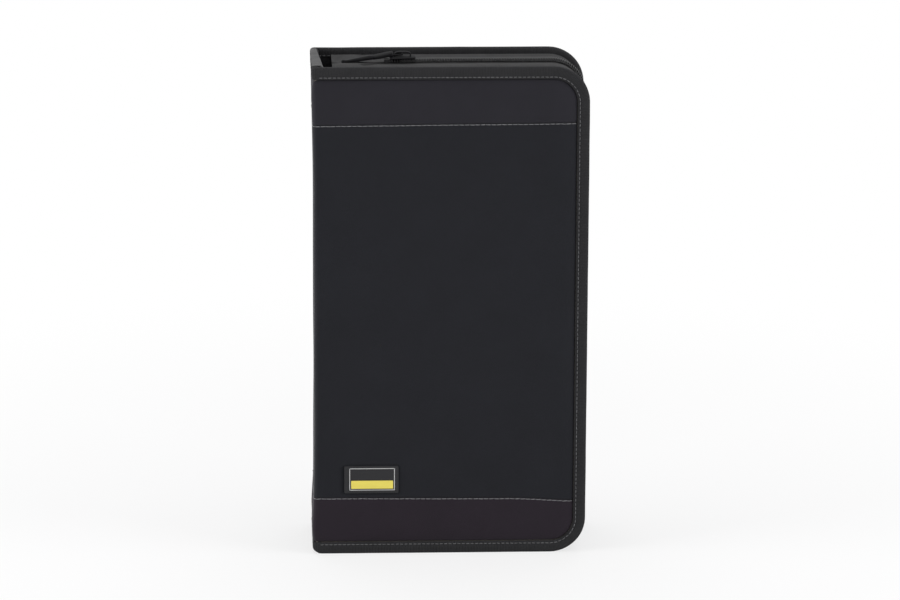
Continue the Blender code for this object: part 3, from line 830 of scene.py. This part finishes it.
def tape_change(label):
    """Swelling and wrinkles of a zip tape, strongest where the coil doesn't hold it."""
    side = SIDES[label]

    def change(station, point):
        x, _, z = station[0]
        up_z = station[2][2]
        share = min(max((point[0] - TAPE_EDGE) / (TAPE_HELD - TAPE_EDGE), 0.0), 1.0)
        hump = math.sin(math.pi * share)
        tail = smooth_step((COIL_START - x) / (10 * MM)) if z > TOP / 2 else 0.0
        along = x * up_z + z * (1 - abs(up_z))
        crease = MM * cloud(along, side * point[0] * 0.45, up_z * 0.01, 7 * MM, 6.0)
        slow = MM * cloud(along, side * point[0] * 0.3, up_z * 0.01, 24 * MM, 8.0)
        top = max(up_z, 0.0)
        swell = TAPE_SWELL[label] * top + TAPE_SWELL_ELSEWHERE * (1 - top)
        up = (hump * (swell + (0.40 + 1.2 * tail) * crease + 0.5 * slow)
              + tail * share * 0.5 * crease + share * zip_rise(x, z))
        return 0.0, -up

    return change


def make_zip_tape(label, material):
    """One half of the wide zip tape, its flange tucked behind the cover's binding."""
    stations = edge_stations(SIDES[label], 2.0 * MM, lap=False, start_x=TAPE_BEGIN)
    tape = sweep(f"{label}_zip_cloth", stations, TAPE_SECTION, -TAPE_THICK, material,
                 tape_change(label))
    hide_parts(f"{label}_zip_tape")
    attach(tape, label + "_cover")


def make_coil(label, material):
    """One half of the nylon coil: a hooked turn of wire for each tooth."""
    side = SIDES[label]
    start_x = COIL_START if side < 0 else COIL_START + TOOTH_PITCH / 2
    root = FACE - COIL_REACH
    paths = []
    for x, z, out_x, out_z, gone in rim_path(0.0, start_x, TOOTH_PITCH):
        behind = 9 * MM if z > TOP / 2 else 0.0
        closed = smooth_step((x - COIL_START - behind) / (6 * MM))
        reach = FACE - TOOTH_OPEN_GAP + TOOTH_MESH * closed
        rise = zip_rise(x, z)
        along = np.array([-out_z, 0.0, out_x]) * TOOTH_LEAN
        station = (np.array([x, side * FACE, z]), np.array([x, side * (FACE - BINDING_DEEP), z]),
                   np.array([out_x, 0.0, out_z]), gone)
        shape = ((root + 0.1 * MM, 2.35, -1), (root, 1.7, -1), (root + 0.5 * MM, 1.22, -0.6),
                 (reach - 1.0 * MM, 1.12, 0.2), (reach - 0.25 * MM, 1.25, 0.6),
                 (reach, 1.75, 1), (reach - 0.3 * MM, 2.30, 1), (root + 0.8 * MM, 2.42, 1))
        paths.append([in_section(station, across, deep * MM - rise) + along * turn
                      for across, deep, turn in shape])
    coil = tubes(f"{label}_coil_teeth", paths, [TOOTH_WIRE] * 8, 6, material)
    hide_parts(f"{label}_zip_coil")
    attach(coil, label + "_cover")


def make_hinge_lining(label, material):
    """The lining's own bend between the spine and a cover."""
    side = SIDES[label]
    turn = 0.7 * MM
    spine_x = SPINE_LINING_IN + 0.15 * MM
    cover_y = LINING_IN - 0.15 * MM
    line = [(spine_x, y * MM) for y in (19.0, 22.0, 24.2)]
    for step in range(7):
        angle = math.radians(15 * step)
        line.append((spine_x + turn * (1 - math.cos(angle)),
                     cover_y - turn * (1 - math.sin(angle))))
    line += [(spine_x + extra * MM, cover_y) for extra in (1.2, 1.8, 2.4, 3.2, 4.5, 8.0)]
    under = offset_line(line, 0.12 * MM)
    low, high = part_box("page_binder")
    rows = [[((x, side * y, z), (in_x, side * in_y, z)) for (x, y), (in_x, in_y) in
             zip(line, under)] for z in np.linspace(low.z, high.z, 40)]
    lining = ribbon(f"{label}_hinge_lining", rows, material)
    hinge(lining)


def page_rows(page):
    """The front and the back point of one sleeve at each of its places."""
    low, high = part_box("sleeve_pages")
    pitch = (high.y - low.y) / PAGES
    middle = low.y + pitch * (page + 0.5)
    reach = high.x - 1.2 * MM * abs(math.sin(page * 1.7))
    bottom = low.z + 0.7 * MM * abs(math.sin(page * 2.9))
    top = high.z - 0.9 * MM * abs(math.sin(page * 4.1))
    rows = []
    for x in np.linspace(low.x + 0.2 * MM, reach, 26):
        gather = 0.66 + 0.34 * smooth_step((x - low.x) / (30 * MM))
        half = pitch * 0.3 * gather
        row = []
        for z in np.linspace(bottom, top, 30):
            wobble = 0.22 * MM * cloud(x, page * 0.3, z, 35 * MM, 7.0)
            y = (middle + wobble) * gather
            row.append(((x, y - half, z), (x, y + half, z)))
        rows.append(row)
    return rows


def make_pages(materials):
    """The stack of thin sleeves, gathered at the binder."""
    sheets = [np.array(page_rows(page)) for page in range(PAGES)]
    pages = join_meshes("sleeve_stack", [ribbon(f"sleeve_{page}", rows, materials["sleeve"])
                                         for page, rows in enumerate(sheets)])
    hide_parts("sleeve_pages")
    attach(pages, "spine")
    make_pockets("front", sheets[0][:, :, 0], materials)
    make_pockets("back", sheets[-1][:, :, 1], materials)


def join_meshes(name, objects):
    """Several meshes made one object, each a closed body of its own."""
    kept = objects[0]
    with bpy.context.temp_override(active_object=kept, object=kept,
                                   selected_editable_objects=objects,
                                   selected_objects=objects):
        bpy.ops.object.join()
    kept.name = name
    return kept


def make_pockets(label, surface, materials):
    """Two film pockets on the outermost sleeve, with welded borders."""
    columns, rows = surface.shape[:2]

    def on_sleeve(share_x, share_z, out):
        place_x, place_z = share_x * (columns - 1), share_z * (rows - 1)
        column, row = min(int(place_x), columns - 2), min(int(place_z), rows - 2)
        over_x, over_z = place_x - column, place_z - row
        cell = surface[column:column + 2, row:row + 2]
        point = np.einsum("i,j,ijk", (1 - over_x, over_x), (1 - over_z, over_z), cell)
        return point + np.array([0.0, SIDES[label] * out, 0.0])

    def puff(share_x, share_z, low, high):
        edge = min((share_x - FILM_LOW_X) / 0.05, (share_z - low) / 0.03,
                   (high - share_z) / 0.03, 1.0)
        return 0.35 * MM * smooth_step(edge) + 0.12 * MM

    films, welds = [], []
    for number, (low, high) in enumerate(FILM_SHARES):
        film_rows = [[(on_sleeve(x, z, puff(x, z, low, high)), on_sleeve(x, z, 0.02 * MM))
                      for z in np.linspace(low, high, 34)]
                     for x in np.linspace(FILM_LOW_X, FILM_HIGH_X, 40)]
        films.append(ribbon(f"{label}_film_{number}", film_rows, materials["film"]))
        for end in (low, high):
            welds.append([on_sleeve(share, end, 0.1 * MM)
                          for share in np.linspace(0.09, 0.975, 30)])
        welds.append([on_sleeve(FILM_LOW_X, share, 0.1 * MM)
                      for share in np.linspace(low, high, 30)])
    film = join_meshes(f"{label}_pocket_films", films)
    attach(film, "spine")
    seams = tubes(f"{label}_pocket_welds", welds, [WELD] * 30, 6, materials["sleeve"])
    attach(seams, "spine")


def arc_outline(corners, radius, steps):
    """An outline of round corners, each given by its centre and its first angle."""
    outline = []
    for centre_a, centre_b, start in corners:
        for step in range(steps + 1):
            angle = math.radians(start + 90 * step / steps)
            outline.append((centre_a + radius * math.cos(angle),
                            centre_b + radius * math.sin(angle)))
    return outline


def rounded_outline(low_a, high_a, low_b, high_b, corner):
    """A rectangle with four round corners."""
    return arc_outline(((high_a - corner, high_b - corner, 0),
                        (low_a + corner, high_b - corner, 90),
                        (low_a + corner, low_b + corner, 180),
                        (high_a - corner, low_b + corner, 270)), corner, 6)


def loft(name, rings, material, along=None):
    """A closed body through rings of as many points each."""
    size = len(rings[0])
    points = [point for ring in rings for point in ring]
    faces = band_faces(len(rings), size)
    if along is None:
        return make_object(name, points, faces, material)
    turns = np.tile(np.arange(size) * 0.4 * MM, len(rings))
    return make_object(name, points, faces, material, np.repeat(along, size), turns)


def slab(name, outline, rings, lay, material):
    """A flat outline made solid through rings of inset and level.

    lay "front" takes X and Z with its levels along Y; "flat" takes X and Y with levels in Z.
    """
    outline = np.asarray(outline, float)
    middle = (outline.min(0) + outline.max(0)) / 2
    half = (outline.max(0) - outline.min(0)) / 2
    placed = []
    for inset, level in rings:
        inner = middle + (outline - middle) * (1 - inset / half)
        placed.append([(a, level, b) if lay == "front" else (a, b, level) for a, b in inner])
    return loft(name, placed, material)


def plate_rings(face, back, edge):
    """Rings of a plate whose face has a rounded edge."""
    inward = edge if face > back else -edge
    return [(0.0, back), (0.0, face - inward), (edge * 0.3, face - inward * 0.3), (edge, face)]


def make_patch(materials):
    """The bare moulded patch: a black plate, a pale frame line and one yellow bar."""
    low, high = PATCH
    face = low.y - 0.25 * MM
    base = slab("label_patch_plate",
                rounded_outline(low.x + 0.7 * MM, high.x, low.z + 0.9 * MM, high.z, 0.9 * MM),
                plate_rings(face, high.y, 0.25 * MM), "front", materials["patch"])
    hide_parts("label_patch")
    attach(base, "front_cover")
    line = 0.42 * MM
    x0, x1 = low.x + 3.7 * MM, high.x - 2.2 * MM
    z0, z1 = low.z + 2.7 * MM, high.z - 1.3 * MM
    edges = {"low": (x0, x1, z0, z0 + line), "high": (x0, x1, z1 - line, z1),
             "left": (x0, x0 + line, z0, z1), "right": (x1 - line, x1, z0, z1)}
    rings = plate_rings(face - 0.12 * MM, face + 0.1 * MM, 0.05 * MM)
    frame_line = join_meshes("label_patch_line", [
        slab("patch_line_" + name, rounded_outline(*edge, 0.12 * MM), rings, "front",
             materials["patch_line"]) for name, edge in edges.items()])
    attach(frame_line, "front_cover")
    gap = line + 0.6 * MM
    bar = slab("label_patch_bar",
               rounded_outline(x0 + gap, x1 - gap, z0 + gap, z0 + gap + 4.9 * MM, 0.3 * MM),
               plate_rings(face - 0.15 * MM, face + 0.1 * MM, 0.08 * MM), "front",
               materials["patch_bar"])
    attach(bar, "front_cover")


def bar_ring(centre, wide, thick, half_wide, half_thick, power=0.55):
    """A rounded oblong ring of points round a centre."""
    ring = []
    for number in range(16):
        angle = 2 * math.pi * number / 16
        cosine, sine = math.cos(angle), math.sin(angle)
        ring.append(centre
                    + wide * half_wide * math.copysign(abs(cosine) ** power, cosine)
                    + thick * half_thick * math.copysign(abs(sine) ** power, sine))
    return ring


def make_slider(materials):
    """The cast slider: two rounded plates, the post between the coils and the bridge."""
    low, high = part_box("slider_body")
    plate = SLIDER_PLATE
    top = COIL_HIGH + SLIDER_PLAY + plate
    head, tail = high.y, high.y * 0.75
    corner = SLIDER_CORNER
    outline = arc_outline(((high.x - corner, tail - corner, 0),
                           (low.x + corner, head - corner, 90),
                           (low.x + corner, corner - head, 180),
                           (high.x - corner, corner - tail, 270)), corner, 8)
    metal = materials["slider_metal"]
    upper = slab("slider_upper", outline, [
        (0.25 * MM, top - plate), (0.0, top - plate * 0.75), (0.0, top - plate * 0.45),
        (0.35 * MM, top - plate * 0.1), (1.1 * MM, top + 0.05 * MM)], "flat", metal)
    lower = slab("slider_lower", outline, [
        (0.8 * MM, low.z), (0.1 * MM, low.z + 0.25 * MM), (0.0, low.z + 0.6 * MM),
        (0.2 * MM, low.z + plate)], "flat", metal)
    post = slab("slider_post", rounded_outline(low.x + 1.1 * MM, low.x + 6.1 * MM,
                                               -POST_HALF, POST_HALF, 0.4 * MM),
                [(0.0, low.z + plate / 2), (0.0, top - plate / 2)], "flat", metal)
    middle = (low.x + high.x) / 2
    rise = high.z - BRIDGE_CLEAR - top
    rings = []
    for step in range(21):
        angle = math.pi * step / 20
        cosine, sine = math.cos(angle), math.sin(angle)
        x = middle + BRIDGE_REACH * math.copysign(abs(cosine) ** 0.5, cosine)
        z = top - BRIDGE_SUNK + (rise + BRIDGE_SUNK) * sine ** 0.5
        out = Vector((cosine, 0.0, sine * 1.5)).normalized()
        rings.append(bar_ring(Vector((x, 0, z)), Vector((0, 1, 0)), out, 1.5 * MM, 0.36 * MM))
    bridge = loft("slider_bridge", rings, metal)
    slider = join_meshes("zip_slider_cast", [upper, lower, post, bridge])
    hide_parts("slider_body")
    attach(slider, "zip_slider")


def pull_route(knots, count):
    """Points on a smooth line through a few knots, placed from the pull's pivot."""
    pivot = next(np.array(joint["pos_m"]) for joint in frame["joints"]
                 if joint["name"] == "pull_swing")
    knots = np.array([pivot + np.array(knot) * MM for knot in knots])
    ease = np.linspace(0, len(knots) - 1, count)
    smooth = np.stack([np.interp(ease, range(len(knots)), places) for places in knots.T], -1)
    for _ in range(count // 4):
        smooth[1:-1] = (smooth[:-2] + 2 * smooth[1:-1] + smooth[2:]) / 4
    return smooth


def flat_bar(name, line, half_sizes, material):
    """A bar along a line. half_sizes gives half its width and thickness at a share of it."""
    rings = []
    for number, point in enumerate(line):
        half_wide, half_thick = half_sizes(number / (len(line) - 1))
        step = line[min(number + 1, len(line) - 1)] - line[max(number - 1, 0)]
        step = Vector(step).normalized()
        wide = step.cross(Vector((0, 0, 1))).normalized()
        thick = wide.cross(step).normalized()
        rings.append(bar_ring(Vector(point), wide, thick, half_wide, half_thick, 0.6))
    return loft(name, rings, material, distances(line))


def end_round(share, reach):
    """How full a bar is near its round ends."""
    near = min(share, 1 - share) / reach
    return math.sqrt(1 - (1 - min(near, 1.0)) ** 2) * 0.92 + 0.08


def grip_sizes(share):
    """The grip's half width and half thickness."""
    return ((3.5 - 0.7 * share) * MM * end_round(share, 0.14),
            (1.45 - 0.4 * share) * MM * end_round(share, 0.10))


def strap_sizes(share):
    """The tapered strap's half width and half thickness, with a bump near its tip."""
    bump = math.exp(-((share - 0.93) / 0.06) ** 2)
    return ((2.55 - 1.35 * share + 0.55 * bump) * MM * end_round(share, 0.05),
            (1.05 - 0.45 * share + 0.35 * bump) * MM * end_round(share, 0.04))


def make_pull(materials):
    """The wire link round the bridge, the soft grip moulded on it and the limp strap."""
    metal = materials["slider_metal"]
    link = tubes("pull_link", [pull_route(LINK_KNOTS, 49)], [LINK_WIRE] * 49, 10, metal)
    grip = flat_bar("pull_grip_body", pull_route(GRIP_KNOTS, 36), grip_sizes, metal)
    grip = join_meshes("pull_tab_moulded", [grip, link])
    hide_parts("pull_tab")
    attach(grip, "zip_pull")
    strap = flat_bar("pull_strap_cloth", pull_route(STRAP_KNOTS, 46), strap_sizes,
                     materials["strap"])
    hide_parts("pull_strap")
    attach(strap, "zip_pull")


def make_gusset(materials):
    """The zip tape's tail, folded flat and sewn down over the spine's top end; its colour is
    painted lighter than the zip tape's for the light on the spine's top.
    """
    left = LEFT + bow(TOP) + 0.35 * MM
    rows = []
    for number, y in enumerate(across_spine(32)):
        share = 1 - number / 32
        right = left + (3.4 + 3.6 * share ** 1.3) * MM
        row = []
        for column in range(13):
            part = column / 12
            x = left + (right - left) * part
            arch = math.sin(math.pi * min(part, 0.97)) ** 0.6
            lump = 0.35 * MM * cloud(x, y, TOP, 6 * MM, 3.3)
            past = max(x - left - BINDING_DEEP, 0.0)
            z = TOP + 0.25 * MM + (0.35 * MM + lump) * arch - past * 0.9
            row.append(((x, y, z), (x, y, z - TAPE_THICK)))
        rows.append(row)
    across, along, _ = np.array(rows)[:, :, 0].T
    tail = ribbon("spine_top_tape_tail", rows, materials["painted_lit_tail"], along.T, across.T)
    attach(tail, "spine")


def dress_cad(materials):
    """Procedural finishes for the frame's own pieces that stay."""
    finishes = {"board": "board", "lining": "lining", "page_binder": "lining", "stop": "coil"}
    for name, node in frame["nodes"].items():
        for ending, slot in finishes.items():
            if name.endswith(ending):
                node.data.materials.clear()
                node.data.materials.append(materials[slot])


def mix_shaders(tree, share, first, second, output_kind):
    """Two shaders mixed by a share, as the tree's output."""
    mixed = add_node(tree, "ShaderNodeMixShader",
                     {"Fac": share, 1: first.outputs[0], 2: second.outputs[0]})
    add_node(tree, output_kind, {"Surface": mixed.outputs[0]})


def make_floor():
    """A pale floor that keeps the case's soft shadow and melts into the white further off."""
    half = FLOOR_HALF
    mesh = bpy.data.meshes.new("floor")
    mesh.from_pydata([(-half, -half, 0), (half, -half, 0), (half, half, 0), (-half, half, 0)],
                     [], [(0, 1, 2, 3)])
    floor = place_object("floor", mesh)
    material = bpy.data.materials.new("pale floor")
    material.use_nodes = True
    tree = material.node_tree
    tree.nodes.clear()
    matte = add_node(tree, "ShaderNodeBsdfDiffuse", {"Color": (0.86, 0.86, 0.86, 1)})
    glow = add_node(tree, "ShaderNodeEmission", {"Strength": 1.0})
    path = add_node(tree, "ShaderNodeLightPath")
    reach = add_node(tree, "ShaderNodeVectorMath", {0: object_places(tree)}, operation="LENGTH")
    away = add_node(tree, "ShaderNodeMapRange",
                    {"Value": reach.outputs["Value"], "From Min": 0.15, "From Max": 0.60,
                     "To Min": 0.70, "To Max": 1.0}, interpolation_type="SMOOTHSTEP")
    share = math_node(tree, "MULTIPLY", path.outputs["Is Camera Ray"], away.outputs["Result"])
    mix_shaders(tree, share, matte, glow, "ShaderNodeOutputMaterial")
    mesh.materials.append(material)


def make_world():
    """A dim grey room that the camera and the gloss see as white."""
    world = bpy.data.worlds.new("studio")
    bpy.context.scene.world = world
    world.use_nodes = True
    tree = world.node_tree
    tree.nodes.clear()
    path = add_node(tree, "ShaderNodeLightPath")
    seen = math_node(tree, "MAXIMUM", path.outputs["Is Camera Ray"],
                     path.outputs["Is Transmission Ray"])
    gloss = math_node(tree, "MULTIPLY", path.outputs["Is Glossy Ray"], 0.6)
    seen = math_node(tree, "MAXIMUM", seen, gloss)
    dim = add_node(tree, "ShaderNodeBackground", {"Color": (0.5, 0.5, 0.51, 1),
                                                  "Strength": 0.62})
    white = add_node(tree, "ShaderNodeBackground", {"Color": (1, 1, 1, 1), "Strength": 1.0})
    mix_shaders(tree, seen, dim, white, "ShaderNodeOutputWorld")


def make_lamp(name, place, size, power):
    """A soft square lamp aimed at the case."""
    lamp = bpy.data.lights.new(name, "AREA")
    lamp.shape = "SQUARE"
    lamp.size = size
    lamp.energy = power
    made = place_object(name, lamp)
    made.location = place
    ahead = Vector(LAMP_TARGET) - Vector(place)
    made.rotation_euler = ahead.to_track_quat("-Z", "Y").to_euler()


def make_camera():
    """The photograph's view: from the front and above."""
    camera = bpy.data.cameras.new("camera")
    camera.lens = CAMERA_LENS
    camera.sensor_width = 36
    made = place_object("camera", camera)
    made.matrix_world = (Matrix.Translation(CAMERA_PLACE)
                         @ Matrix.Rotation(-CAMERA_YAW, 4, "Z")
                         @ Matrix.Rotation(math.pi / 2 - CAMERA_PITCH, 4, "X")
                         @ Matrix.Rotation(CAMERA_ROLL, 4, "Z"))
    bpy.context.scene.camera = made


def make_studio():
    """Camera, floor, world and lamps."""
    bpy.context.scene.view_settings.view_transform = "Standard"
    make_camera()
    make_floor()
    make_world()
    for name, (place, size, power) in LAMPS.items():
        make_lamp(name, place, size, power)


MATERIALS = make_materials()
make_studio()
for cover in SIDES:
    make_skins(cover, MATERIALS)
    make_binding(cover, MATERIALS)
    seam_stitches(cover, MATERIALS["seam_thread"])
    make_zip_tape(cover, MATERIALS["zip_tape"])
    make_coil(cover, MATERIALS["coil"])
    make_hinge_lining(cover, MATERIALS["lining"])
make_spine_skins(MATERIALS)
spine_stitches(MATERIALS["seam_thread"])
make_spine_bindings(MATERIALS)
make_gusset(MATERIALS)
make_pages(MATERIALS)
make_patch(MATERIALS)
make_slider(MATERIALS)
make_pull(MATERIALS)
dress_cad(MATERIALS)
